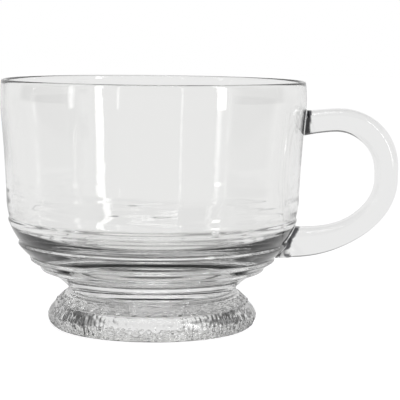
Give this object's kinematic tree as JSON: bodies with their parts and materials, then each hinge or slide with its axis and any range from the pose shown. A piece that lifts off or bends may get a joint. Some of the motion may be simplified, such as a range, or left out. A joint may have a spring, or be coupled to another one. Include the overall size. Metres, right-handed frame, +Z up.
{
  "type": "glass mug",
  "caption": "Clear glass footed mug: a wide bowl with pressed rings on its lower curve, a flared foot with a scalloped lace band, and a C-shaped handle fused to the bowl.",
  "frame": {"origin": "on the table the mug stands on, under the middle of its whole box, handle included; the bowl's own axis is 16.65 mm towards -X", "axes": "+Z up along the bowl's axis, +X towards the handle"},
  "size_m": [0.1433, 0.11, 0.089],
  "materials": {
    "bowl_glass": "clear fire-polished soda-lime glass with soft pressed rings",
    "foot_glass": "clear pressed glass with a lace band and a stippled band",
    "handle_glass": "clear smooth pressed glass"
  },
  "bodies": {
    "root": {"bowl": "bowl_glass", "foot": "foot_glass", "handle": "handle_glass"}
  },
  "joints": []
}
